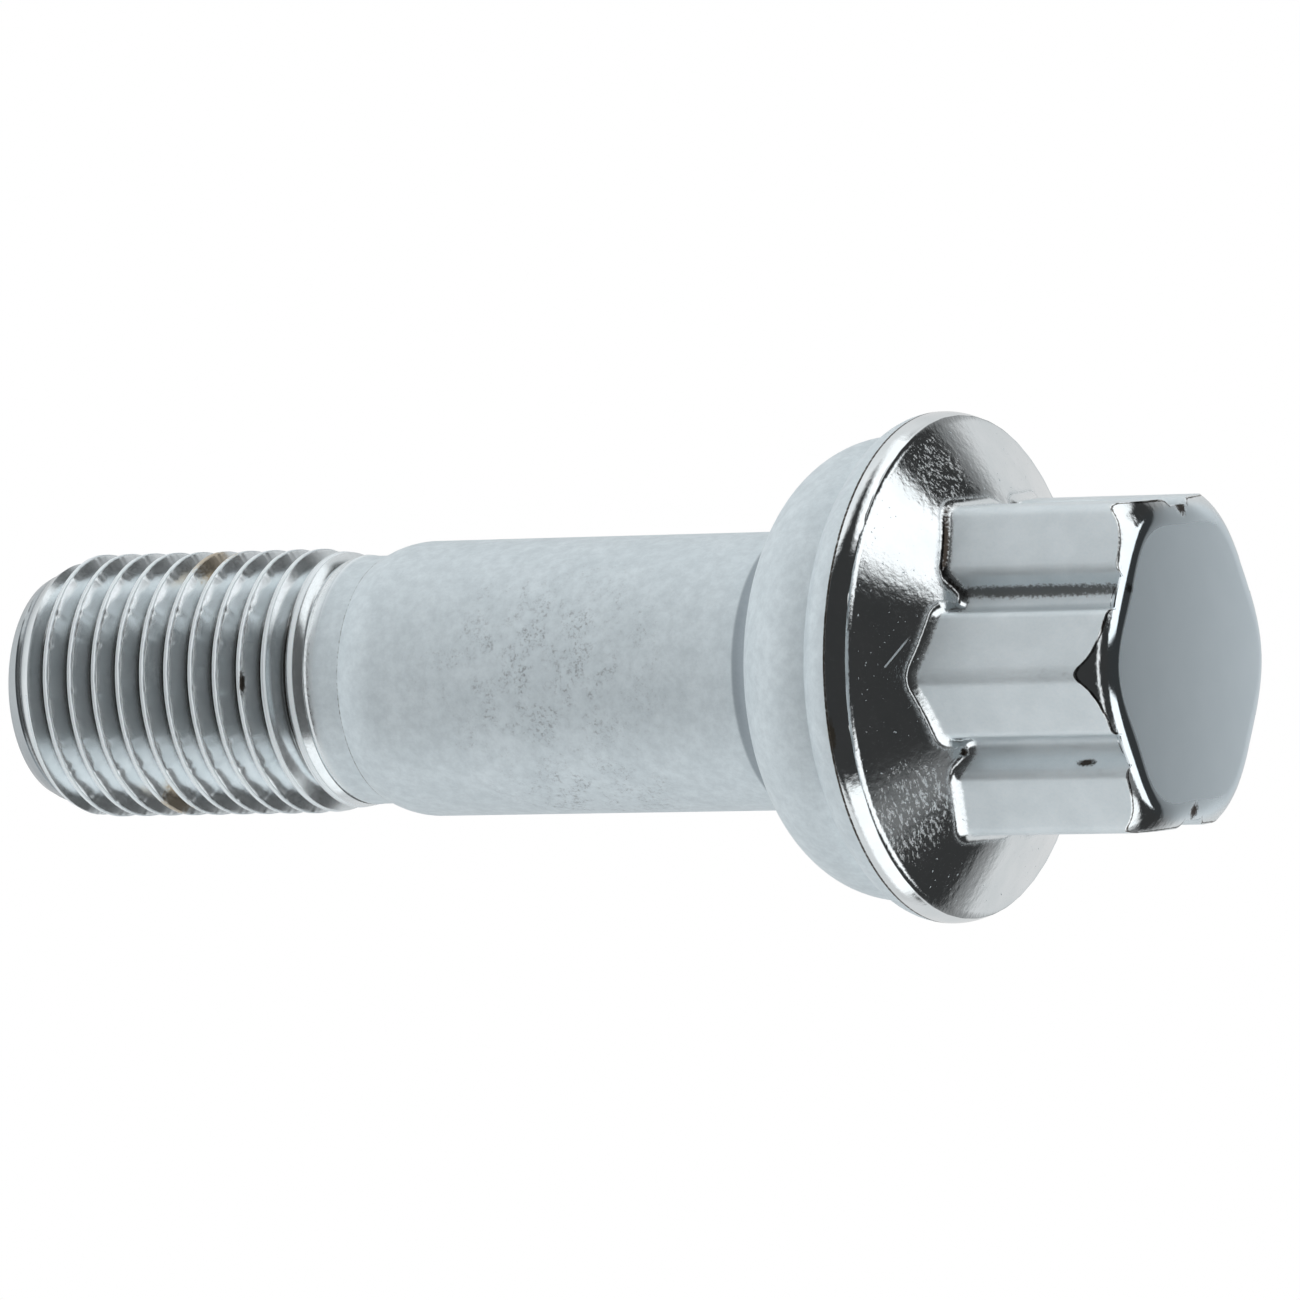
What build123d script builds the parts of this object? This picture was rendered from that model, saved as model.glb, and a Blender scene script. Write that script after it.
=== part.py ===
from build123d import *
import math
import os

# A wheel bolt, forged and thread rolled in one piece. It stands on its threaded end, with the
# origin at the middle of that end and +Z along the axis towards the head. All sizes are in mm
# and all angles in degrees.

# Threaded end
thread_diameter = 13.95
thread_pitch = 1.5
thread_depth = 0.9
thread_root_width = 0.2
thread_flank_angle = 30.0
thread_start_angle = 90.0
thread_length = 16.25
runout_length = 3.2
tip_diameter = 11.8
tip_chamfer_length = 2.24

# Neck and shank
neck_diameter = 13.05
neck_length = 1.3
shoulder_length = 2.4
shoulder_radius = 4.8
shank_diameter = 14.44
under_head_length = 46.26

# Rounded seat
seat_diameter = 24.0
seat_arc_radius = 4.84
seat_fillet_radius = 1.32
seat_crease_depth = 0.045

# Flange
flange_diameter = 26.35
flange_back_angle = 48.0
flange_rim_radius = 2.05
flange_rim_turn = 28.0
flange_front_angle = 60.0

# Hexagon head
overall_length = 67.86
head_across_flats = 16.8
head_corner_radius = 1.0
head_foot_radius = 0.75
groove_width = 2.3
groove_apex_depth = 2.15
groove_bottom_radius = 0.8
groove_edge_radius = 0.63
end_dome_radius = 103.0
end_round_diameter = 19.26
end_round_radius = 2.5
lip_diameter = 16.1
lip_thickness = 0.6
lip_back_angle = 52.0


def lean_point(centre, radius, lean):
    """Point of a half-section arc, lean degrees from straight out towards +Z."""
    turn = math.radians(lean)
    return (centre[0] + radius * math.cos(turn), centre[1] + radius * math.sin(turn))


def lean_arc(centre, radius, first, last):
    """Half-section arc between two leans."""
    middle = lean_point(centre, radius, (first + last) / 2)
    return ThreePointArc(lean_point(centre, radius, first), middle, lean_point(centre, radius, last))


def flange_rim():
    """Centre of the rim arc, the seat's centre and the crease between seat and flange."""
    seat_centre = (seat_diameter / 2 - seat_arc_radius, under_head_length + seat_arc_radius)
    crease_lean = math.degrees(math.acos(1 - seat_crease_depth / seat_arc_radius))
    crease = lean_point(seat_centre, seat_arc_radius, crease_lean)
    back_lean = flange_back_angle - 90
    rim_radius = flange_diameter / 2 - flange_rim_radius
    rim_foot = lean_point((rim_radius, 0), flange_rim_radius, back_lean)
    back_rise = (rim_foot[0] - crease[0]) / math.tan(math.radians(flange_back_angle))
    rim_centre = (rim_radius, crease[1] + back_rise - rim_foot[1])
    return rim_centre, seat_centre, crease_lean


def front_height(radius):
    """Height of the flange's front cone at a distance from the axis."""
    rim_end = lean_point(flange_rim()[0], flange_rim_radius, flange_rim_turn)
    return rim_end[1] + (rim_end[0] - radius) / math.tan(math.radians(flange_front_angle))


def bolt_body():
    """Threaded end, neck, shank, seat and flange, revolved from one half section."""
    thread_radius = thread_diameter / 2
    neck_radius = neck_diameter / 2
    shank_radius = shank_diameter / 2
    neck_start = thread_length + runout_length
    shoulder_start = neck_start + neck_length
    shank_start = shoulder_start + shoulder_length
    rim_centre, seat_centre, crease_lean = flange_rim()

    # The fillet under the seat touches the shank and the seat arc.
    fillet_radius = shank_radius + seat_fillet_radius
    fillet_out = fillet_radius - seat_centre[0]
    fillet_drop = math.sqrt((seat_arc_radius + seat_fillet_radius) ** 2 - fillet_out**2)
    fillet_centre = (fillet_radius, seat_centre[1] - fillet_drop)
    seat_lean = -math.degrees(math.atan2(fillet_drop, fillet_out))

    back_lean = flange_back_angle - 90
    crease = lean_point(seat_centre, seat_arc_radius, crease_lean)
    rim_foot = lean_point(rim_centre, flange_rim_radius, back_lean)
    rim_end = lean_point(rim_centre, flange_rim_radius, flange_rim_turn)

    # The cone ends inside the head, level with the bottoms of the head's grooves.
    core = head_across_flats / 2 - groove_apex_depth
    top = front_height(core)

    with BuildPart() as body:
        with BuildSketch(Plane.XZ):
            with BuildLine():
                Polyline(
                    (0, top),
                    (0, 0),
                    (tip_diameter / 2, 0),
                    (thread_radius, tip_chamfer_length),
                    (thread_radius, thread_length),
                    (neck_radius, neck_start),
                    (neck_radius, shoulder_start),
                )
                RadiusArc(
                    (neck_radius, shoulder_start), (shank_radius, shank_start), -shoulder_radius
                )
                Line((shank_radius, shank_start), (shank_radius, fillet_centre[1]))
                lean_arc(fillet_centre, seat_fillet_radius, 180, seat_lean + 180)
                lean_arc(seat_centre, seat_arc_radius, seat_lean, crease_lean)
                Line(crease, rim_foot)
                lean_arc(rim_centre, flange_rim_radius, back_lean, flange_rim_turn)
                Polyline(rim_end, (core, top), (0, top))
            make_face()
        revolve(axis=Axis.Z)
    return body.part


def thread_groove():
    """Right-hand V groove along the full cylinder of the threaded end."""
    radius = thread_diameter / 2
    clear = thread_pitch / 20
    root = thread_root_width / 2
    mouth = root + (thread_depth + clear) * math.tan(math.radians(thread_flank_angle))
    start = tip_chamfer_length + mouth
    height = thread_length - mouth - start
    path = Helix(thread_pitch, height, radius, center=(0, 0, start))
    with BuildPart() as groove:
        with BuildSketch(Plane.XZ.shift_origin((radius, 0, start))):
            with BuildLine():
                Polyline(
                    (-thread_depth, -root),
                    (clear, -mouth),
                    (clear, mouth),
                    (-thread_depth, root),
                    close=True,
                )
            make_face()
        sweep(path=path, is_frenet=True)
    return groove.part.rotate(Axis.Z, thread_start_angle + 360 * start / thread_pitch)


def head_outline():
    """Hexagon with a rounded V groove in the middle of each flat, one corner towards -Y."""
    flat = head_across_flats / 2
    corner = flat / math.cos(math.radians(30))
    points = []
    for side in range(6):
        points.append(Vector(0, -corner).rotate(Axis.Z, 60 * side))
        for across, depth in (
            (-groove_width / 2, 0),
            (0, groove_apex_depth),
            (groove_width / 2, 0),
        ):
            points.append(Vector(across, depth - flat).rotate(Axis.Z, 60 * side + 30))
    with BuildSketch() as outline:
        with BuildLine():
            Polyline(*points, close=True)
        make_face()
        fillet(outline.vertices().group_by(SortBy.DISTANCE)[1], groove_edge_radius)
        fillet(outline.vertices().group_by(SortBy.DISTANCE)[0], groove_bottom_radius)
        fillet(outline.vertices().group_by(SortBy.DISTANCE)[-1], head_corner_radius)
    return outline.sketch


def head_envelope(base):
    """Turned envelope of the head: a domed end with a large rounding that trims the corners."""
    reach = end_round_diameter / 2
    middle = overall_length - end_dome_radius
    out = reach - end_round_radius
    height = middle + math.sqrt((end_dome_radius - end_round_radius) ** 2 - out**2)
    lean = math.degrees(math.atan2(height - middle, out))
    with BuildPart() as envelope:
        with BuildSketch(Plane.XZ):
            with BuildLine():
                lean_arc((0, middle), end_dome_radius, 90, lean)
                lean_arc((out, height), end_round_radius, lean, 0)
                Polyline((reach, height), (reach, base), (0, base), (0, overall_length))
            make_face()
        revolve(axis=Axis.Z)
    return envelope.part


def end_lip():
    """Disc that closes the grooves at the end, with a sloping back and a top still to be trimmed."""
    radius = lip_diameter / 2
    top = overall_length + end_round_radius
    back = overall_length - lip_thickness
    foot = back - radius / math.tan(math.radians(lip_back_angle))
    with BuildPart() as lip:
        with BuildSketch(Plane.XZ):
            with BuildLine():
                Polyline((0, top), (radius, top), (radius, back), (0, foot), close=True)
            make_face()
        revolve(axis=Axis.Z)
    return lip.part


def bolt_head(base):
    """Grooved hexagon that rises from the flange, with a domed end that closes the grooves."""
    prism = extrude(Pos(0, 0, base) * head_outline(), overall_length + end_round_radius - base)
    return (prism + end_lip()) & head_envelope(base)


os.makedirs("parts", exist_ok=True)

base = flange_rim()[0][1]
foot_top = front_height(head_across_flats / 2 - groove_apex_depth)
blank = bolt_body() + bolt_head(base)
foot = [
    edge
    for edge in blank.edges().filter_by_position(Axis.Z, base, foot_top)
    if not edge.is_closed and edge.geom_type != GeomType.LINE
]
bolt = fillet(foot, head_foot_radius) - thread_groove()
bolt.label = "wheel_bolt"
export_step(bolt, "parts/wheel_bolt.step")
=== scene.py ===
import math

import bmesh
import bpy
import numpy as np
from mathutils import Matrix, Vector


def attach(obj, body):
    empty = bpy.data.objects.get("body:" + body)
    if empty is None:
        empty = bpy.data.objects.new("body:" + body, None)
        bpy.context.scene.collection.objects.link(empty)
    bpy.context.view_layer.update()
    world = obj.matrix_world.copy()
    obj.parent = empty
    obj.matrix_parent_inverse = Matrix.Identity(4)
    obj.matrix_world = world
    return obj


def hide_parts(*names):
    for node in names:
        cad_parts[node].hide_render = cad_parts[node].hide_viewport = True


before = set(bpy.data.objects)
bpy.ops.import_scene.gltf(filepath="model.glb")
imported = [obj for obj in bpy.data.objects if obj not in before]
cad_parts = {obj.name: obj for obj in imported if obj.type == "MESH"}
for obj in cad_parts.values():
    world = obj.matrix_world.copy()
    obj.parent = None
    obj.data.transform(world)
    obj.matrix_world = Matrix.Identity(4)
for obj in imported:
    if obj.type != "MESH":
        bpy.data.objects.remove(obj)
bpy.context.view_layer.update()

# The bolt stands on its threaded end, in metres, with +Z towards the head. Lengths named here
# are in millimetres and angles in degrees, as in the solid. A finish is 0 where the plating is
# bright and 1 where it is satin. Painted shade and dirt is 0 where it is clean and 1 where it is painted
# black.
MM = 0.001

# Threaded end
THREAD_RADIUS = 6.975
THREAD_PITCH = 1.5
THREAD_DEPTH = 0.9
THREAD_ROOT = 0.1
THREAD_FLANK = 30.0
THREAD_START = 90.0
THREAD_LENGTH = 16.25
RUNOUT_LENGTH = 3.2
RUNOUT_FADE = 2.2
TIP_RADIUS = 5.9
TIP_CHAMFER = 2.24
TIP_RING = 3.0
TIP_FINISH = 0.6
ROOT_EDGE = 0.14
# Painted shade in the thread's root, growing with the groove's depth
ROOT_SHADE = {-THREAD_ROOT: 0.45, THREAD_ROOT: 1.0, ROOT_EDGE: 0.5}
SHADE_DEPTH = 0.4
CREST_ROUND = 0.03
CREST_SEAM = 0.035
CREST_RAGGED = 0.03
RAGGED_WAVES = (23.3, 47.7)
# Satin finish on the crests, going above 1 to mark their painted highlight
CREST_FINISH_AND_HIGHLIGHT = 1.4
FLANK_FINISH = 0.35
DULL_TIP = 1.6
SATIN_START = 19.2
SATIN_BLEND = 0.5

# Neck, shank and seat
NECK_RADIUS = 6.525
NECK_LENGTH = 1.3
NECK_LINE_WIDTH = 0.06
# Painted shade along the crease at the neck
NECK_LINE_SHADE = 0.6
SHOULDER_LENGTH = 2.4
SHOULDER_RADIUS = 4.8
SHANK_RADIUS = 7.22
UNDER_HEAD = 46.26
SEAT_RADIUS = 12.0
SEAT_ARC = 4.84
SEAT_FILLET = 1.32
SEAT_CREASE = 0.045

# Flange, with a painted shadow in the seam round its rim and a thin wavy ridge between the rim and the
# front cone
FLANGE_RADIUS = 13.168
BACK_ANGLE = 48.0
RIM_ARC = 2.05
RIM_TURN = 28.0
FRONT_ANGLE = 60.0
SEAM_START = -5.0
SEAM_STOP = -2.0
SEAM_FINISH = 0.5
SEAM_SHADOW = 0.8
RIDGE = 0.035
RIDGE_WIDTH = 0.03
RIDGE_FINISH = 0.2
RIDGE_WAVES = (19, 31)
FOOT_RING = 11.2

# Head
LENGTH = 67.86
HEAD_FLAT = 8.4
HEAD_CORNER = 1.0
HEAD_FOOT = 0.75
GROOVE_HALF = 1.15
GROOVE_DEPTH = 2.15
GROOVE_BOTTOM = 0.8
GROOVE_EDGE = 0.63
END_DOME = 103.0
END_REACH = 9.63
END_ROUND = 2.5
END_SCALLOP = 0.3
LIP_RADIUS = 8.05
LIP_THICKNESS = 0.6
LIP_BACK = 52.0
WALL_GAP = 0.05
WALL_FINISH = 0.7
FOOT_FINISH = (0.5, 0.0, 0.0, 0.1, 0.2, 0.3, 0.5, WALL_FINISH)
# Painted shade with dirt in the corner at the foot of one lobe
FOOT_SHADE_AND_DIRT = (0.0, 0.6, 0.9, 1.0, 0.8, 0.5, 0.0, 0.0)
FOOT_SHADE_AND_DIRT_TURN = 222.0
FOOT_SHADE_AND_DIRT_REACH = 20.0
EDGE_TURN = 2.5
# Painted shade line where the walls meet the end's rounding
EDGE_SHADE = 0.85
END_FINISH = 0.5
END_DULL_TURN = 87.0

# Steps of the mesh along the bolt and round the head
NECK_STEPS = 2
SHOULDER_STEPS = 24
SHANK_STEPS = 8
FILLET_STEPS = 10
SEAT_STEPS = 26
BACK_STEPS = 3
RIM_STEPS = 12
SEAM_STEPS = 3
CONE_STEPS = 5
RING_STEPS = 7
FOOT_STEPS = 7
WALL_STEPS = 9
LIP_STEPS = 4
ROUND_STEPS = 16
DOME_STEPS = 6
CORNER_STEPS = 8
FLAT_STEPS = 7
GROOVE_STEPS = 7
GROOVE_SIDE_STEPS = 2
MERGE_DISTANCE = 0.0004
SHARP_ANGLE = 32.0


def lean_point(centre, radius, lean):
    """Point of a half-section arc, lean degrees from straight out towards +Z."""
    turn = math.radians(lean)
    return centre[0] + radius * math.cos(turn), centre[1] + radius * math.sin(turn)


def lean_arc(centre, radius, first, last, steps):
    """Points of a half-section arc, both ends included."""
    return [lean_point(centre, radius, lean) for lean in np.linspace(first, last, steps + 1)]


def line(first, last, steps):
    """Points of a straight run, both ends included."""
    return [tuple(point) for point in np.linspace(first, last, steps + 1)]


def share(value):
    """Value kept between 0 and 1."""
    return min(max(value, 0), 1)


def rounded_outline(corners):
    """Points and outward normals round a closed outline with rounded corners, anticlockwise."""
    points, normals = [], []
    count = len(corners)
    arcs = []
    for index, (corner, radius, arc_steps, run_steps) in enumerate(corners):
        before = np.array(corners[index - 1][0]) - corner
        after = np.array(corners[(index + 1) % count][0]) - corner
        before /= np.linalg.norm(before)
        after /= np.linalg.norm(after)
        half = math.acos(np.dot(before, after)) / 2
        reach = radius / math.tan(half)
        middle = (before + after) / np.linalg.norm(before + after)
        centre = corner + middle * radius / math.sin(half)
        first = corner + before * reach - centre
        last = corner + after * reach - centre
        convex = before[1] * after[0] - before[0] * after[1] > 0
        start = math.atan2(first[1], first[0])
        turn = math.atan2(first[0] * last[1] - first[1] * last[0], np.dot(first, last))
        arc = []
        for step in range(arc_steps + 1):
            angle = start + turn * step / arc_steps
            out = np.array((math.cos(angle), math.sin(angle)))
            arc.append((centre + out * radius, out if convex else -out))
        arcs.append((arc, run_steps))
    for index, (arc, run_steps) in enumerate(arcs):
        points += [point for point, _ in arc]
        normals += [normal for _, normal in arc]
        start = arc[-1][0]
        stop = arcs[(index + 1) % count][0][0][0]
        for step in range(1, run_steps):
            points.append(start + (stop - start) * step / run_steps)
            normals.append(arc[-1][1])
    return np.array(points), np.array(normals)


def head_outline():
    """Hexagon with a rounded groove in the middle of each flat, one corner towards -Y."""
    corner = HEAD_FLAT / math.cos(math.radians(30))
    corners = []
    for side in range(6):
        turn = math.radians(60 * side)
        flat_turn = turn + math.radians(30)
        for place, angle, radius, arc_steps, run_steps in (
            ((0, -corner), turn, HEAD_CORNER, CORNER_STEPS, FLAT_STEPS),
            ((-GROOVE_HALF, -HEAD_FLAT), flat_turn, GROOVE_EDGE, GROOVE_STEPS, GROOVE_SIDE_STEPS),
            ((0, GROOVE_DEPTH - HEAD_FLAT), flat_turn, GROOVE_BOTTOM, GROOVE_STEPS, GROOVE_SIDE_STEPS),
            ((GROOVE_HALF, -HEAD_FLAT), flat_turn, GROOVE_EDGE, GROOVE_STEPS, FLAT_STEPS),
        ):
            cos, sin = math.cos(angle), math.sin(angle)
            point = np.array((place[0] * cos - place[1] * sin, place[0] * sin + place[1] * cos))
            corners.append((point, radius, arc_steps, run_steps))
    return rounded_outline(corners)


# The mesh has one column of points for each point of the head's outline.
outline, outline_normals = head_outline()
columns = np.unwrap(np.arctan2(outline[:, 1], outline[:, 0]))
columns = np.append(columns, columns[0] + 2 * math.pi)

# Thread groove
flank_slope = math.tan(math.radians(THREAD_FLANK))
groove_mouth = THREAD_ROOT + THREAD_DEPTH * flank_slope
half_pitch = THREAD_PITCH / 2

# Half section of the neck, shank, seat and flange
neck_start = THREAD_LENGTH + RUNOUT_LENGTH
shoulder_start = neck_start + NECK_LENGTH
shank_start = shoulder_start + SHOULDER_LENGTH
seat_centre = (SEAT_RADIUS - SEAT_ARC, UNDER_HEAD + SEAT_ARC)
crease_lean = math.degrees(math.acos(1 - SEAT_CREASE / SEAT_ARC))
crease = lean_point(seat_centre, SEAT_ARC, crease_lean)
fillet_out = SHANK_RADIUS + SEAT_FILLET - seat_centre[0]
fillet_drop = math.sqrt((SEAT_ARC + SEAT_FILLET) ** 2 - fillet_out**2)
fillet_centre = (SHANK_RADIUS + SEAT_FILLET, seat_centre[1] - fillet_drop)
seat_lean = -math.degrees(math.atan2(fillet_drop, fillet_out))
back_lean = BACK_ANGLE - 90
rim_reach = FLANGE_RADIUS - RIM_ARC
rim_foot_out, rim_foot_drop = lean_point((rim_reach, 0), RIM_ARC, back_lean)
back_rise = (rim_foot_out - crease[0]) / math.tan(math.radians(BACK_ANGLE))
rim_centre = (rim_reach, crease[1] + back_rise - rim_foot_drop)
rim_foot = lean_point(rim_centre, RIM_ARC, back_lean)
rim_end = lean_point(rim_centre, RIM_ARC, RIM_TURN)
front_slope = 1 / math.tan(math.radians(FRONT_ANGLE))


def front_height(radius):
    """Height of the flange's front cone at a radius."""
    return rim_end[1] + (rim_end[0] - radius) * front_slope


def dome_height(radius):
    """Height of the domed end at a radius."""
    return LENGTH - END_DOME + math.sqrt(END_DOME**2 - radius**2)


def shoulder_points():
    """Rounded shoulder between the neck and the shank."""
    first = np.array((NECK_RADIUS, shoulder_start))
    last = np.array((SHANK_RADIUS, shank_start))
    chord = last - first
    length = np.linalg.norm(chord)
    side = np.array((-chord[1], chord[0])) / length
    centre = (first + last) / 2 + side * math.sqrt(SHOULDER_RADIUS**2 - length**2 / 4)
    first_lean = math.degrees(math.atan2(*(first - centre)[::-1]))
    last_lean = math.degrees(math.atan2(*(last - centre)[::-1]))
    return lean_arc(centre, SHOULDER_RADIUS, first_lean, last_lean, SHOULDER_STEPS)


def body_section():
    """Half section from the neck to the ring round the head, with finish, painted shade and waver."""
    neck_line = (NECK_RADIUS, shoulder_start)
    fillet_start = (SHANK_RADIUS, fillet_centre[1])
    cone_start = rim_end[0] - RIDGE_WIDTH
    neck = line((NECK_RADIUS, neck_start), (NECK_RADIUS, shoulder_start - NECK_LINE_WIDTH), NECK_STEPS)
    satin = (
        shoulder_points()[1:]
        + line((SHANK_RADIUS, shank_start), fillet_start, SHANK_STEPS)
        + lean_arc(fillet_centre, SEAT_FILLET, 180, seat_lean + 180, FILLET_STEPS)
        + lean_arc(seat_centre, SEAT_ARC, seat_lean, crease_lean, SEAT_STEPS)
        + line(crease, rim_foot, BACK_STEPS)
        + lean_arc(rim_centre, RIM_ARC, back_lean, SEAM_START - 1, RIM_STEPS)
    )
    seam = lean_arc(rim_centre, RIM_ARC, SEAM_START, SEAM_STOP, SEAM_STEPS)
    bright = lean_arc(rim_centre, RIM_ARC, SEAM_STOP + 1, RIM_TURN - 1, RIM_STEPS)
    ridge = lean_point(rim_centre, RIM_ARC + RIDGE, RIM_TURN)
    cone = line((cone_start, front_height(cone_start)), (FOOT_RING, front_height(FOOT_RING)), CONE_STEPS)
    section = []
    for points, finish, shade_and_dirt, waver in (
        (neck, 1.0, 0.0, 0.0),
        ([neck_line], 1.0, NECK_LINE_SHADE, 0.0),
        (satin, 1.0, 0.0, 0.0),
        # Painted shadow in the seam round the rim
        (seam, SEAM_FINISH, SEAM_SHADOW, 0.0),
        (bright, 0.0, 0.0, 0.0),
        ([ridge], RIDGE_FINISH, 0.0, RIDGE),
        (cone, 0.0, 0.0, 0.0),
    ):
        section += [(*point, finish, shade_and_dirt, waver) for point in points]
    return section


def blank_radius(height):
    """Radius of the threaded end without its thread."""
    if height < TIP_CHAMFER:
        return TIP_RADIUS + (THREAD_RADIUS - TIP_RADIUS) * height / TIP_CHAMFER
    if height < THREAD_LENGTH:
        return THREAD_RADIUS
    return THREAD_RADIUS + (NECK_RADIUS - THREAD_RADIUS) * (height - THREAD_LENGTH) / RUNOUT_LENGTH


def groove_depth(height):
    """Depth of the thread's groove, which runs out on the chamfer and before the neck."""
    depth = blank_radius(height) - (THREAD_RADIUS - THREAD_DEPTH)
    fade = min((neck_start - height) / RUNOUT_FADE, 1)
    return max(depth, 0) * fade


def thread_point(angle, turn, offset):
    """Point, finish and painted shade on a row that follows the helix, offset from the groove's middle.
    """
    rise = THREAD_PITCH * (angle - math.radians(THREAD_START)) / (2 * math.pi)
    height = min(max(rise + turn * THREAD_PITCH + offset, 0), neck_start)
    depth = groove_depth(height)
    if abs(offset + groove_mouth) < 2 * CREST_ROUND and CREST_RAGGED < height < THREAD_LENGTH:
        along = angle + 2 * math.pi * turn
        slow, fast = (math.sin(waves * along) for waves in RAGGED_WAVES)
        height += CREST_RAGGED * slow * fast
    cut = max(depth - max(abs(offset) - THREAD_ROOT, 0) / flank_slope, 0)
    seam = CREST_SEAM * depth / THREAD_DEPTH if offset == -half_pitch else 0
    radius = blank_radius(height) - cut - seam
    point = (radius * math.cos(angle), radius * math.sin(angle), height)
    crest = abs(offset) > groove_mouth and height > DULL_TIP
    plain = CREST_FINISH_AND_HIGHLIGHT if crest else FLANK_FINISH
    finish = plain + (1 - plain) * share((height - SATIN_START) / SATIN_BLEND + 0.5)
    shade_and_dirt = min(depth / SHADE_DEPTH, 1) * ROOT_SHADE.get(offset, 0.0)
    return point, finish, shade_and_dirt


def thread_rows():
    """Threaded end: rows that follow the helix, cut off at the tip and at the neck."""
    flank_end = groove_mouth - 3 * CREST_ROUND
    offsets = (
        -half_pitch,
        -groove_mouth - CREST_ROUND,
        -groove_mouth + CREST_ROUND,
        -flank_end,
        -ROOT_EDGE,
        -THREAD_ROOT,
        THREAD_ROOT,
        ROOT_EDGE,
        flank_end,
        groove_mouth - CREST_ROUND,
        groove_mouth + CREST_ROUND,
    )
    rows = []
    for turn in range(-1, math.ceil(neck_start / THREAD_PITCH) + 2):
        for offset in offsets:
            rows.append([thread_point(angle, turn, offset) for angle in columns])
    return rows


def round_rows(section):
    """Rows of a turned surface. A row's waver is how far it weaves inwards."""
    rows = []
    for radius, height, finish, shade_and_dirt, waver in section:
        row = []
        for angle in columns:
            weave = math.sin(RIDGE_WAVES[0] * angle) * math.sin(RIDGE_WAVES[1] * angle + 1)
            reach = radius - waver * (0.5 + 0.5 * weave)
            row.append(((reach * math.cos(angle), reach * math.sin(angle), height), finish, shade_and_dirt))
        rows.append(row)
    return rows


def foot_points(point, normal, radius, out):
    """Rounded foot of the head, from the front cone up to the wall."""
    slope = front_slope * np.dot(normal, out)
    height = front_height(radius) - slope * HEAD_FOOT + HEAD_FOOT * math.sqrt(1 + slope**2)
    lean = math.degrees(math.atan2(-1, -slope)) + 360
    arc = lean_arc((HEAD_FOOT, height), HEAD_FOOT, lean, 180, FOOT_STEPS)
    return [(*(point + normal * away), level) for away, level in arc]


def ring_points(out, toe):
    """Front cone between the ring round the head and the toe of its foot."""
    toe_radius = np.linalg.norm(toe)
    points = []
    for ring in np.linspace(FOOT_RING, toe_radius, RING_STEPS + 1)[:-1]:
        spread = (FOOT_RING - ring) / (FOOT_RING - toe_radius)
        aim = out * (1 - spread) + toe / toe_radius * spread
        aim = aim / np.linalg.norm(aim)
        points.append((*(aim * ring), front_height(ring)))
    return points


def end_section(radius, turn):
    """Half section of the end above a wall: out of the groove and over the rounding."""
    middle = LENGTH - END_DOME
    bend = END_ROUND + END_SCALLOP * math.cos(6 * turn)
    out = END_REACH - bend
    height = middle + math.sqrt((END_DOME - bend) ** 2 - out**2)
    touch = math.degrees(math.atan2(height - middle, out))
    reach = max(radius, LIP_RADIUS)
    start = math.degrees(math.acos((reach - out) / bend))
    rounding = [lean_point((out, height), bend, start)]
    rounding += lean_arc((out, height), bend, start + EDGE_TURN, touch, ROUND_STEPS)
    back = LENGTH - LIP_THICKNESS if radius < LIP_RADIUS else rounding[0][1]
    close = back - (reach - radius) / math.tan(math.radians(LIP_BACK))
    return line((radius, close), (reach, back), LIP_STEPS) + rounding


def head_column(wall, normal):
    """Points, finish, and painted shade and dirt from the front cone over one wall to the middle of the
    end.
    """
    radius = np.linalg.norm(wall)
    out = wall / radius
    turn = math.atan2(out[1], out[0])
    foot = foot_points(wall, normal, radius, out)
    ring = ring_points(out, np.array(foot[0][:2]))
    end = end_section(radius, turn)
    heights = np.linspace(foot[-1][2], end[0][1] - WALL_GAP, WALL_STEPS + 1)[1:]
    dome = np.linspace(end[-1][0], 0, DOME_STEPS + 1)[1:]

    away = (math.degrees(turn) - FOOT_SHADE_AND_DIRT_TURN + 180) % 360 - 180
    foot_darkening = max(1 - (away / FOOT_SHADE_AND_DIRT_REACH) ** 2, 0)
    dull = END_FINISH * share(2 * math.cos(turn - math.radians(END_DULL_TURN)))
    # Painted shade line on the first rows of the rounding
    edge_shade = EDGE_SHADE if radius > LIP_RADIUS else 0.0
    edge = (LIP_STEPS + 1, LIP_STEPS + 2)

    column = [(point, 0.0, 0.0) for point in ring]
    for point, finish, shade_and_dirt in zip(foot, FOOT_FINISH, FOOT_SHADE_AND_DIRT):
        column.append((point, finish, shade_and_dirt * foot_darkening))
    column += [((*wall, height), WALL_FINISH, 0.0) for height in heights]
    for row, (reach, height) in enumerate(end):
        finish = END_FINISH if row == len(end) - 1 else dull
        column.append(((*(out * reach), height), finish, edge_shade if row in edge else 0.0))
    column += [((*(out * reach), dome_height(reach)), END_FINISH, 0.0) for reach in dome]
    return column


def head_rows():
    """Front cone, rounded foot, grooved walls and domed end of the head."""
    lines = [head_column(wall, normal) for wall, normal in zip(outline, outline_normals)]
    lines.append(lines[0])
    return list(zip(*lines))


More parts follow.
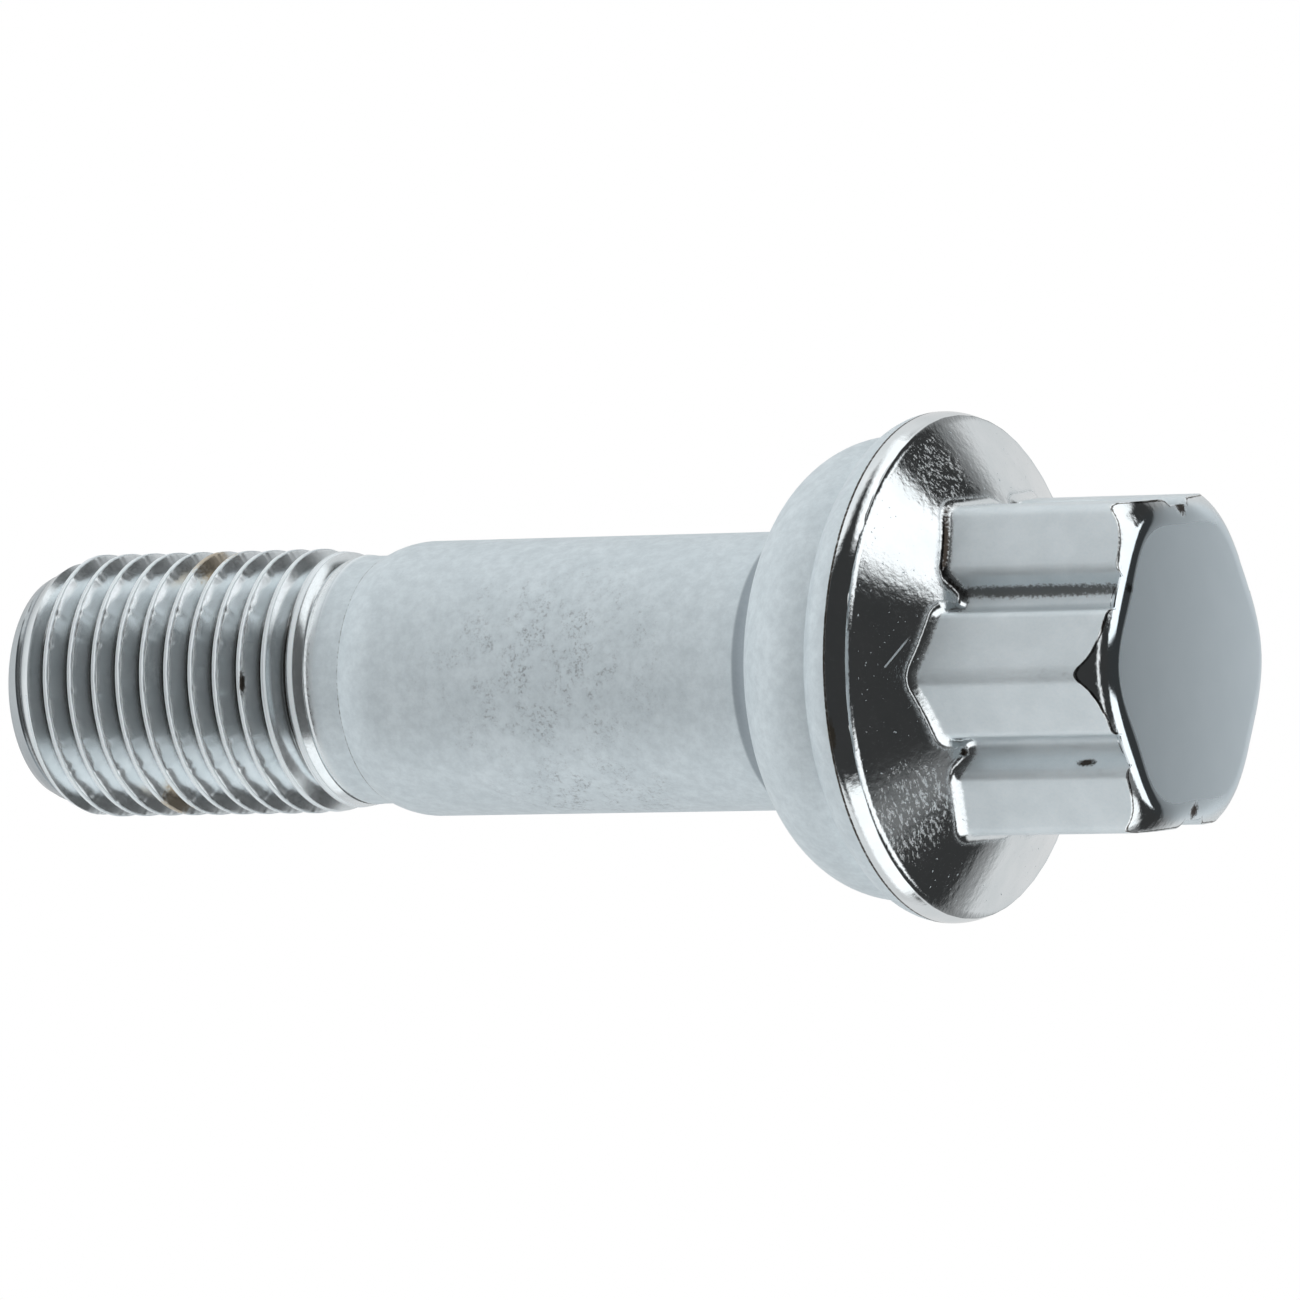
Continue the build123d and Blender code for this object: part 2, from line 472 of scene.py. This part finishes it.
def build_bolt():
    """One closed mesh of the whole bolt, with its finish and its painted shade and dirt stored on its
    points.
    """
    tip = round_rows([(radius, 0, TIP_FINISH, 0, 0) for radius in (0, TIP_RING, TIP_RADIUS)])
    points, faces, finishes, shade_and_dirt_values = [], [], [], []
    width = len(columns)
    for rows in (tip, thread_rows(), round_rows(body_section()), head_rows()):
        start = len(points)
        for row in rows:
            points += [[length * MM for length in point] for point, _, _ in row]
            finishes += [finish for _, finish, _ in row]
            shade_and_dirt_values += [shade_and_dirt for _, _, shade_and_dirt in row]
        for row in range(len(rows) - 1):
            for column in range(width - 1):
                low = start + row * width + column
                faces.append((low, low + 1, low + width + 1, low + width))
    mesh = bpy.data.meshes.new("wheel_bolt_body")
    mesh.from_pydata(points, [], faces)
    mesh.attributes.new("finish", "FLOAT", "POINT").data.foreach_set("value", finishes)
    mesh.attributes.new("shade_and_dirt", "FLOAT", "POINT").data.foreach_set("value", shade_and_dirt_values)
    work = bmesh.new()
    work.from_mesh(mesh)
    bmesh.ops.remove_doubles(work, verts=work.verts, dist=MERGE_DISTANCE * MM)
    bmesh.ops.dissolve_degenerate(work, edges=work.edges, dist=MERGE_DISTANCE * MM)
    bmesh.ops.recalc_face_normals(work, faces=work.faces)
    work.to_mesh(mesh)
    work.free()
    mesh.shade_smooth()
    mesh.set_sharp_from_angle(angle=math.radians(SHARP_ANGLE))
    bolt = bpy.data.objects.new("wheel_bolt_body", mesh)
    bpy.context.collection.objects.link(bolt)
    return bolt


class Graph:
    """Short calls for building a node tree."""

    def __init__(self, tree):
        self.tree = tree
        tree.nodes.clear()

    def node(self, kind, **settings):
        made = self.tree.nodes.new(kind)
        for name, value in settings.items():
            setattr(made, name, value)
        return made

    def put(self, socket, value):
        """Link a socket to another one, or set its value."""
        if isinstance(value, bpy.types.NodeSocket):
            self.tree.links.new(value, socket)
        else:
            socket.default_value = value

    def math(self, operation, *values):
        made = self.node("ShaderNodeMath", operation=operation)
        for socket, value in zip(made.inputs, values):
            self.put(socket, value)
        return made.outputs[0]

    def vector(self, operation, *values):
        """Result of a vector operation, which is a number for a product, a length or a distance."""
        made = self.node("ShaderNodeVectorMath", operation=operation)
        for socket, value in zip(made.inputs, values):
            self.put(socket, value)
        number = operation in ("DOT_PRODUCT", "LENGTH", "DISTANCE")
        return made.outputs["Value"] if number else made.outputs[0]

    def upright(self, place):
        """Part of a vector along +Z."""
        made = self.node("ShaderNodeSeparateXYZ")
        self.put(made.inputs[0], place)
        return made.outputs[2]

    def product(self, *values):
        result = values[0]
        for value in values[1:]:
            result = self.math("MULTIPLY", result, value)
        return result

    def largest(self, values):
        result = values[0]
        for value in values[1:]:
            result = self.math("MAXIMUM", result, value)
        return result

    def smooth(self, value, low, high, start=0.0, stop=1.0):
        """Smooth step of a value from one level to another."""
        made = self.node("ShaderNodeMapRange", interpolation_type="SMOOTHSTEP")
        for name, number in (("Value", value), ("From Min", low), ("From Max", high),
                             ("To Min", start), ("To Max", stop)):
            self.put(made.inputs[name], number)
        return made.outputs[0]

    def band(self, value, rising, falling):
        """Mask that is 1 between two stretches of a value, where it rises and falls."""
        return self.product(self.smooth(value, *rising), self.smooth(value, *falling, 1.0, 0.0))

    def blend(self, factor, first, second):
        """Mix of two numbers."""
        made = self.node("ShaderNodeMix", data_type="FLOAT")
        for name, value in (("Factor", factor), ("A", first), ("B", second)):
            self.put(made.inputs[name], value)
        return made.outputs["Result"]

    def colour(self, factor, first, second):
        """Mix of two colours."""
        made = self.node("ShaderNodeMix", data_type="RGBA")
        self.put(made.inputs[0], factor)
        self.put(made.inputs[6], first)
        self.put(made.inputs[7], second)
        return made.outputs[2]

    def attribute(self, name):
        return self.node("ShaderNodeAttribute", attribute_name=name).outputs["Fac"]

    def noise(self, place, scale, detail, roughness):
        made = self.node("ShaderNodeTexNoise")
        self.put(made.inputs["Vector"], place)
        self.put(made.inputs["Scale"], scale)
        self.put(made.inputs["Detail"], detail)
        self.put(made.inputs["Roughness"], roughness)
        return made.outputs["Fac"]


# Wear, stains and one groove's painted shade and stain, each with its place, size and squeeze along X, Y
# and Z
NICKS = (
    ((-0.37, -6.96, 15.15), 0.80, (1.0, 1.0, 5.0)),
    ((4.65, -6.36, 64.81), 0.30, (1.2, 1.2, 0.45)),
    ((3.98, -6.48, 57.81), 0.30, (1.0, 1.0, 1.0)),
    ((-7.96, 0.12, 67.39), 0.60, (1.0, 1.0, 1.0)),
    ((7.59, -0.16, 67.58), 0.50, (1.0, 1.0, 1.0)),
)
STAINS = (
    ((-6.45, -1.48, 10.51), 1.5, (0.7, 0.7, 1.0)),
    ((5.9, -2.5, 8.23), 1.2, (0.7, 0.7, 1.0)),
    ((2.6, -12.9, 53.75), 0.6, (0.6, 0.6, 2.4)),
)
# Painted shade with a brown stain at the bottom of one groove of the head
GROOVE_SHADE_AND_STAIN = (
    ((-4.12, -6.1, 62.0), 0.42, (1.0, 1.0, 0.04)),
)
PITTED = (
    ((-0.9, -7.0, 33.5), 7.0, (1.0, 1.0, 0.75)),
    ((6.0, -4.0, 34.5), 4.5, (1.0, 1.0, 0.6)),
)
FLAKED = (
    ((6.9, -8.4, 55.9), 3.2, (1.0, 1.0, 1.0)),
    ((-10.4, -3.8, 55.8), 2.4, (1.0, 1.0, 1.0)),
)
FLAKE_RUN = (0.85, 0.53, 0.0)
FLAKE_STRETCH = 0.65
SCRATCH_START = (-0.63, -10.92, 55.87)
SCRATCH_END = (-2.24, -9.28, 56.67)
SCRATCH_EDGE = (0.03, 0.07)
SCRATCH_RISE = 0.1
SCRATCH_FADE = 1.4

# How far a spot's middle reaches, as a share of its size, and how ragged its edge is
SPOT_MIDDLE = 0.45
PITTED_MIDDLE = 0.1
FLAKED_MIDDLE = 0.2
SPOT_RAGGED = 1.6

# Heights over which the finish changes
TIP_TOP = (0.9, DULL_TIP)
THREAD_TOP = (18.5, 20.0)
# Painted shade on the shank where it meets the seat
CRESCENT_SHADE_FOOT = (44.75, 44.95)
CRESCENT_SHADE_TOP = (46.3, 46.6)
SEAT_TOP = (53.0, 54.0)
FRONT_FOOT = (54.8, 55.0)
FRONT_TOP = (57.0, 57.4)
END_FOOT = (67.2, 67.5)

# Noise of the plating: scale for each millimetre, detail and roughness
FINE_NOISE = (6.0, 4.0, 0.6)
SHADE_NOISE = (0.55, 3.0, 0.5)
RAGGED_NOISE = (6.0, 5.0, 0.7)
PIT_NOISE = (4.4, 6.0, 0.8)
PATCH_NOISE = (0.8, 3.0, 0.6)
SPECK_NOISE = (4.6, 2.0, 0.5)
FLAKE_NOISE = (5.5, 5.0, 0.75)
WORN_NOISE = (1.6, 6.0, 0.7)
WAVE_NOISE = (2.2, 2.0, 0.5)
GRAIN_NOISE = (9.0, 4.0, 0.7)

# Levels of the noise between which a mask rises
SHADE_LEVELS = (0.3, 0.7)
PIT_LEVELS = (0.49, 0.62)
PATCH_LEVELS = (0.42, 0.62)
SPECK_LEVELS = (0.70, 0.74)
FLAKE_LEVELS = (0.54, 0.68)
WORN_LEVELS = (0.3, 0.7)
WORN_RANGE = (0.02, 0.44)
CREST_HIGHLIGHT_LEVELS = (1.05, 1.3)
SHADE_AND_DIRT_LEVELS = (0.25, 0.85)

# How uneven the finish and the painted shade and dirt are, and how satin the wear is
THREAD_UNEVEN = 0.35
END_UNEVEN = 0.05
FINISH_UNEVEN = 0.5
SHADE_AND_DIRT_UNEVEN = 1.2
SCRATCH_SATIN = 0.9
FLAKE_SATIN = 0.4
SATIN_METALLIC = 0.55
BRIGHT_ROUGHNESS = (-0.2, 0.25, 0.03, 0.10)
SATIN_ROUGHNESS = (-0.2, 0.2, 0.56, 0.66)

# Relief of the plating
GRAIN_RELIEF = 0.25
FLAKE_RELIEF = 0.8
NICK_RELIEF = -1.5
RELIEF_HEIGHT = 0.014
RELIEF_STRENGTH = 0.8

# Colours, and how strongly each of the later ones covers the metal
BRIGHT_COLOURS = ((0.76, 0.81, 0.83, 1), (0.82, 0.86, 0.88, 1))
SATIN_COLOURS = ((0.70, 0.78, 0.82, 1), (0.75, 0.83, 0.87, 1))
WORN_COLOUR = (0.50, 0.57, 0.61, 1)
# Black of the painted shade in the creases and one groove, also of the dirt at the head's foot and of the
# nicks
SHADE_AND_DIRT_COLOUR = (0.045, 0.038, 0.032, 1)
GROOVE_SHADE_AND_STAIN_COVER = 0.8
# Painted highlight: lighter colour on the thread's crests
CREST_HIGHLIGHT_COVER = (1.0, (0.88, 0.94, 0.97, 1))
TIP_COVER = (0.6, (0.25, 0.28, 0.30, 1))
PIT_COVER = (0.65, (0.15, 0.17, 0.19, 1))
# Painted shade where the shank meets the seat
CRESCENT_SHADE_COVER = (0.8, (0.28, 0.33, 0.37, 1))
END_COVER = (0.7, (0.74, 0.87, 0.95, 1))
STAIN_COVER = (0.8, (0.55, 0.46, 0.33, 1))


class Plating(Graph):
    """Node tree of the plated steel, with the places and masks that its colours and finish share."""

    def __init__(self, tree):
        super().__init__(tree)
        coordinates = self.node("ShaderNodeTexCoord").outputs["Object"]
        self.place = self.vector("MULTIPLY", coordinates, (1 / MM, 1 / MM, 1 / MM))
        self.height = self.upright(self.place)
        self.finish = self.attribute("finish")
        self.ragged = self.math("SUBTRACT", self.noise(self.place, *RAGGED_NOISE), 0.5)
        fine = self.math("SUBTRACT", self.noise(self.place, *FINE_NOISE), 0.5)
        self.calm = self.product(
            self.smooth(self.height, *THREAD_TOP, THREAD_UNEVEN, 1.0),
            self.smooth(self.height, *END_FOOT, 1.0, END_UNEVEN),
        )
        self.uneven = self.product(fine, self.calm)
        self.front = self.band(self.height, FRONT_FOOT, FRONT_TOP)
        self.nicks = self.spots(NICKS)
        self.flakes = self.flaked_plating()
        self.satin = self.satin_mask()

    def spots(self, zones, middle=SPOT_MIDDLE):
        """Ragged mask round some places, 1 in their middle and 0 outside their size."""
        masks = []
        for centre, size, squeeze in zones:
            aim = tuple(value * factor for value, factor in zip(centre, squeeze))
            distance = self.vector("DISTANCE", self.vector("MULTIPLY", self.place, squeeze), aim)
            distance = self.math("MULTIPLY_ADD", self.ragged, SPOT_RAGGED * size, distance)
            masks.append(self.smooth(distance, middle * size, size, 1.0, 0.0))
        return self.largest(masks)

    def flaked_plating(self):
        """Flaked plating on the flange's front, in short streaks."""
        run = self.product(self.vector("DOT_PRODUCT", self.place, FLAKE_RUN), -FLAKE_STRETCH)
        streaks = self.vector("MULTIPLY_ADD", run, FLAKE_RUN, self.place)
        flaked = self.product(self.spots(FLAKED, FLAKED_MIDDLE), self.front)
        return self.product(self.smooth(self.noise(streaks, *FLAKE_NOISE), *FLAKE_LEVELS), flaked)

    def scratch(self):
        """One bright scratch on the flange's front."""
        path = Vector(SCRATCH_END) - Vector(SCRATCH_START)
        along = tuple(path.normalized())
        offset = self.vector("SUBTRACT", self.place, SCRATCH_START)
        travel = self.vector("DOT_PRODUCT", offset, along)
        apart = self.vector("LENGTH", self.vector("CROSS_PRODUCT", offset, along))
        width = self.smooth(apart, *SCRATCH_EDGE, 1.0, 0.0)
        return self.product(width, self.band(travel, (0.0, SCRATCH_RISE), (SCRATCH_FADE, path.length)))

    def satin_mask(self):
        """Satin share of the finish, with small specks, the scratch and the flakes on the front."""
        plain = self.smooth(self.math("MULTIPLY_ADD", self.uneven, FINISH_UNEVEN, self.finish), 0.0, 1.0)
        specks = self.smooth(self.noise(self.place, *SPECK_NOISE), *SPECK_LEVELS)
        return self.largest([
            plain,
            self.product(specks, self.front),
            self.product(self.scratch(), SCRATCH_SATIN),
            self.product(self.flakes, FLAKE_SATIN),
        ])

    def pits(self):
        """Small pits in patches on the shank."""
        speckle = self.smooth(self.noise(self.place, *PIT_NOISE), *PIT_LEVELS)
        patches = self.smooth(self.noise(self.place, *PATCH_NOISE), *PATCH_LEVELS)
        return self.product(self.spots(PITTED, PITTED_MIDDLE), patches, speckle)

    def metal_colour(self):
        """Colour of the clean metal, with what covers it, among it a painted highlight on the crests and
        painted shade where the shank meets the seat.
        """
        shade = self.smooth(self.noise(self.place, *SHADE_NOISE), *SHADE_LEVELS)
        worn = self.smooth(self.noise(self.place, *WORN_NOISE), *WORN_LEVELS, *WORN_RANGE)
        worn = self.product(self.smooth(self.height, *SEAT_TOP, 1.0, 0.0), worn)
        satin = self.colour(worn, self.colour(shade, *SATIN_COLOURS), WORN_COLOUR)
        metal = self.colour(self.satin, self.colour(shade, *BRIGHT_COLOURS), satin)
        for mask, (strength, colour) in (
            # Painted highlight on the crests
            (self.smooth(self.finish, *CREST_HIGHLIGHT_LEVELS), CREST_HIGHLIGHT_COVER),
            (self.smooth(self.height, *TIP_TOP, 1.0, 0.0), TIP_COVER),
            (self.pits(), PIT_COVER),
            # Painted shade where the shank meets the seat
            (self.band(self.height, CRESCENT_SHADE_FOOT, CRESCENT_SHADE_TOP), CRESCENT_SHADE_COVER),
            (self.smooth(self.height, *END_FOOT), END_COVER),
            (self.spots(STAINS), STAIN_COVER),
        ):
            metal = self.colour(self.product(mask, strength), metal, colour)
        return metal

    def shade_and_dirt_mask(self):
        """Black in the creases, the nicks and one groove of the head: painted shade in the creases, with
        some dirt at the head's foot, real marks in the nicks, painted shade with a stain in the groove.
        """
        shade_and_dirt = self.math("MULTIPLY_ADD", self.uneven, SHADE_AND_DIRT_UNEVEN, self.attribute("shade_and_dirt"))
        groove = self.product(self.spots(GROOVE_SHADE_AND_STAIN), GROOVE_SHADE_AND_STAIN_COVER)
        return self.largest([self.smooth(shade_and_dirt, *SHADE_AND_DIRT_LEVELS), self.nicks, groove])

    def roughness(self):
        bright = self.smooth(self.uneven, *BRIGHT_ROUGHNESS)
        satin = self.smooth(self.uneven, *SATIN_ROUGHNESS)
        return self.blend(self.satin, bright, satin)

    def relief(self):
        """Uneven plating with a fine grain, smoother on the end, with the nicks sunk in."""
        waves = self.noise(self.place, *WAVE_NOISE)
        grain = self.noise(self.place, *GRAIN_NOISE)
        relief = self.product(self.math("MULTIPLY_ADD", grain, GRAIN_RELIEF, waves), self.calm)
        relief = self.math("MULTIPLY_ADD", self.flakes, FLAKE_RELIEF, relief)
        relief = self.math("MULTIPLY_ADD", self.nicks, NICK_RELIEF, relief)
        bump = self.node("ShaderNodeBump")
        bump.inputs["Distance"].default_value = RELIEF_HEIGHT * MM
        bump.inputs["Strength"].default_value = RELIEF_STRENGTH
        self.put(bump.inputs["Height"], relief)
        return bump.outputs[0]


def plated_steel():
    """Plated steel: bright thread, flange front and rounding of the head, satin shank, seat and walls."""
    material = bpy.data.materials.new("plated_steel")
    material.use_nodes = True
    plating = Plating(material.node_tree)
    output = plating.node("ShaderNodeOutputMaterial")
    shader = plating.node("ShaderNodeBsdfPrincipled")
    plating.put(output.inputs[0], shader.outputs[0])
    # Painted black shade in the creases and one groove, with dirt and nicks, laid over the metal colour
    colour = plating.colour(plating.shade_and_dirt_mask(), plating.metal_colour(), SHADE_AND_DIRT_COLOUR)
    plating.put(shader.inputs["Base Color"], colour)
    plating.put(shader.inputs["Roughness"], plating.roughness())
    plating.put(shader.inputs["Metallic"], plating.blend(plating.satin, 1.0, SATIN_METALLIC))
    plating.put(shader.inputs["Normal"], plating.relief())
    return material


# Camera, on the photograph's side. Its aim is a place on the bolt's axis and its pixel in the image.
VIEW_TURN = 267.0
VIEW_RISE = 30.0
VIEW_ROLL = 1.305
VIEW_DISTANCE = 713.0
LENS_PIXELS = 13738.3
IMAGE_PIXELS = 1300
AIM_HEIGHT = 40.24
AIM_PIXEL = (723.04, 672.25)
SENSOR = 36.0
CLIP_START = 10.0
CLIP_END = 20000.0

# Floor and fill lamp, turned and raised from the photograph's side
FLOOR_HALF = 3000.0
FILL_TURN = 20.0
FILL_RISE = -15.0
FILL_SPREAD = 60.0
FILL_STRENGTH = 1.7

# Light tent: the height of its edge over the turn away from the photograph's side, and its levels
TENT_EDGE_NEAR = (38.0, 66.0, -42.0, -18.0)
TENT_EDGE_FAR = (60.0, 160.0, 0.0, 18.0)
TENT_SOFT = 6.0
TENT_LEVEL = 0.86
TENT_FRONT = 0.25
TENT_SIDE = 0.10
DARK_LEVEL = 0.04

# Backdrop, over the distance behind the bolt on a plane across its axis
PLANE_RISE = 0.05
BACKDROP_BEND = -0.5
BACKDROP_EDGE = (1.0, 1.25, 0.0, 0.21)
BACKDROP_FADE = (1.1, 2.9, 0.0, 0.52)

# Soft boxes: the two directions that each is measured in, its stretch along them, softness and level
SLANT_TURN = 88.0
SLANT = 0.4
SOFT_BOXES = (
    ("turn", "slant", (56.0, 119.0), (-6.0, 36.0), 5.0, 1.25),
    ("turn", "rise", (-114.0, -50.0), (-17.0, 48.0), 4.0, 1.25),
    ("ahead", "beside", (-0.70, -0.12), (0.36, 2.2), 0.05, 1.25),
    ("ahead", "beside", (-0.50, -0.15), (-0.75, -0.45), 0.1, 0.2),
    ("bow", "beside", (-0.55, -0.16), (0.17, 0.7), 0.03, 1.25),
    ("bow", "beside", (-0.55, -0.16), (-0.7, -0.17), 0.03, 1.25),
    ("bow", "beside", (0.30, 0.44), (-0.6, 0.6), 0.03, 1.0),
)
WHITE = (1, 1, 1, 1)

toward = Vector((math.cos(math.radians(VIEW_TURN)), math.sin(math.radians(VIEW_TURN)), 0))
upward = Vector((toward.y, -toward.x, 0))


def add_camera():
    """Camera that looks down on the bolt from its head's side and is turned on its side."""
    rise, roll = math.radians(VIEW_RISE), math.radians(VIEW_ROLL)
    axis = Vector((0, 0, 1))
    along = axis * math.cos(rise) - toward * math.sin(rise)
    right = along * math.cos(roll) - upward * math.sin(roll)
    up = along * math.sin(roll) + upward * math.cos(roll)
    back = axis * math.sin(rise) + toward * math.cos(rise)
    middle = IMAGE_PIXELS / 2
    across = (AIM_PIXEL[0] - middle) * VIEW_DISTANCE / LENS_PIXELS
    down = (AIM_PIXEL[1] - middle) * VIEW_DISTANCE / LENS_PIXELS
    eye = axis * AIM_HEIGHT - right * across + up * down + back * VIEW_DISTANCE
    data = bpy.data.cameras.new("camera")
    data.sensor_width = SENSOR
    data.lens = LENS_PIXELS / IMAGE_PIXELS * SENSOR
    data.clip_start = CLIP_START * MM
    data.clip_end = CLIP_END * MM
    camera = bpy.data.objects.new("camera", data)
    turn = Matrix((right, up, back)).transposed().to_4x4()
    camera.matrix_world = Matrix.Translation(eye * MM) @ turn
    bpy.context.collection.objects.link(camera)
    bpy.context.scene.camera = camera


def add_floor():
    """Plain white floor that the bolt stands on. It isn't mirrored in the plating."""
    size = FLOOR_HALF * MM
    mesh = bpy.data.meshes.new("floor")
    corners = [(-size, -size, 0), (size, -size, 0), (size, size, 0), (-size, size, 0)]
    mesh.from_pydata(corners, [], [(0, 1, 2, 3)])
    floor = bpy.data.objects.new("floor", mesh)
    material = bpy.data.materials.new("floor_white")
    material.use_nodes = True
    graph = Graph(material.node_tree)
    glow = graph.node("ShaderNodeEmission")
    glow.inputs["Color"].default_value = WHITE
    glow.inputs["Strength"].default_value = 1.0
    output = graph.node("ShaderNodeOutputMaterial")
    graph.put(output.inputs[0], glow.outputs[0])
    mesh.materials.append(material)
    floor.visible_glossy = False
    floor.visible_diffuse = False
    floor.visible_shadow = False
    bpy.context.collection.objects.link(floor)


def studio_directions(graph):
    """Named measures of a direction: angles round the bolt, and places on a plane across its axis."""
    direction = graph.node("ShaderNodeTexCoord").outputs["Generated"]
    height = graph.upright(direction)
    front = graph.vector("DOT_PRODUCT", direction, tuple(toward))
    side = graph.vector("DOT_PRODUCT", direction, tuple(upward))
    turn = graph.math("DEGREES", graph.math("ARCTAN2", side, front))
    rise = graph.math("DEGREES", graph.math("ARCSINE", height))
    plane = graph.math("MAXIMUM", height, PLANE_RISE)
    ahead = graph.math("DIVIDE", front, plane)
    beside = graph.math("DIVIDE", side, plane)
    return {
        "front": front,
        "side": side,
        "turn": turn,
        "rise": rise,
        "slant": graph.math("MULTIPLY_ADD", graph.math("SUBTRACT", turn, SLANT_TURN), SLANT, rise),
        "ahead": ahead,
        "beside": beside,
        "bow": graph.math("MULTIPLY_ADD", beside, beside, ahead),
    }


def tent_light(graph, at):
    """Light of the tent: pale from below, higher towards the back, dark above, with a grey backdrop."""
    around = graph.math("ABSOLUTE", at["turn"])
    edge = graph.math("ADD", graph.smooth(around, *TENT_EDGE_NEAR), graph.smooth(around, *TENT_EDGE_FAR))
    above = graph.math("SUBTRACT", at["rise"], edge)
    pale = graph.math("MULTIPLY_ADD", at["side"], TENT_SIDE, TENT_LEVEL)
    pale = graph.math("MULTIPLY_ADD", at["front"], TENT_FRONT, pale)
    light = graph.blend(graph.smooth(above, -TENT_SOFT, TENT_SOFT), pale, DARK_LEVEL)
    depth = graph.math("MULTIPLY_ADD", graph.math("ABSOLUTE", at["beside"]), BACKDROP_BEND,
                       graph.math("MULTIPLY", at["ahead"], -1.0))
    backdrop = graph.math("ADD", graph.smooth(depth, *BACKDROP_EDGE), graph.smooth(depth, *BACKDROP_FADE))
    return graph.math("MAXIMUM", light, backdrop)


def add_studio():
    """Light tent with soft boxes round the bolt. The camera itself sees plain white."""
    world = bpy.data.worlds.new("studio")
    world.use_nodes = True
    graph = Graph(world.node_tree)
    at = studio_directions(graph)
    light = tent_light(graph, at)
    for first, second, across, along, soft, level in SOFT_BOXES:
        inside = graph.product(*(
            graph.band(at[name], (start - soft, start + soft), (stop - soft, stop + soft))
            for name, (start, stop) in ((first, across), (second, along))
        ))
        light = graph.blend(inside, light, level)
    seen = graph.node("ShaderNodeLightPath").outputs["Is Camera Ray"]
    glow = graph.node("ShaderNodeBackground")
    glow.inputs["Color"].default_value = WHITE
    graph.put(glow.inputs["Strength"], graph.blend(seen, light, 1.0))
    output = graph.node("ShaderNodeOutputWorld")
    graph.put(output.inputs[0], glow.outputs[0])
    bpy.context.scene.world = world


def add_fill():
    """Soft lamp from the photograph's side. It lights the satin parts and isn't mirrored."""
    turn, rise = math.radians(FILL_TURN), math.radians(FILL_RISE)
    data = bpy.data.lights.new("fill", "SUN")
    data.energy = FILL_STRENGTH
    data.angle = math.radians(FILL_SPREAD)
    lamp = bpy.data.objects.new("fill", data)
    level = toward * math.cos(turn) + upward * math.sin(turn)
    source = level * math.cos(rise) + Vector((0, 0, math.sin(rise)))
    lamp.rotation_euler = source.to_track_quat("Z", "Y").to_euler()
    lamp.visible_glossy = False
    bpy.context.collection.objects.link(lamp)


bpy.context.scene.view_settings.view_transform = "Standard"
bolt = build_bolt()
bolt.data.materials.append(plated_steel())
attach(bolt, "root")
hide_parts("wheel_bolt")
add_camera()
add_floor()
add_studio()
add_fill()
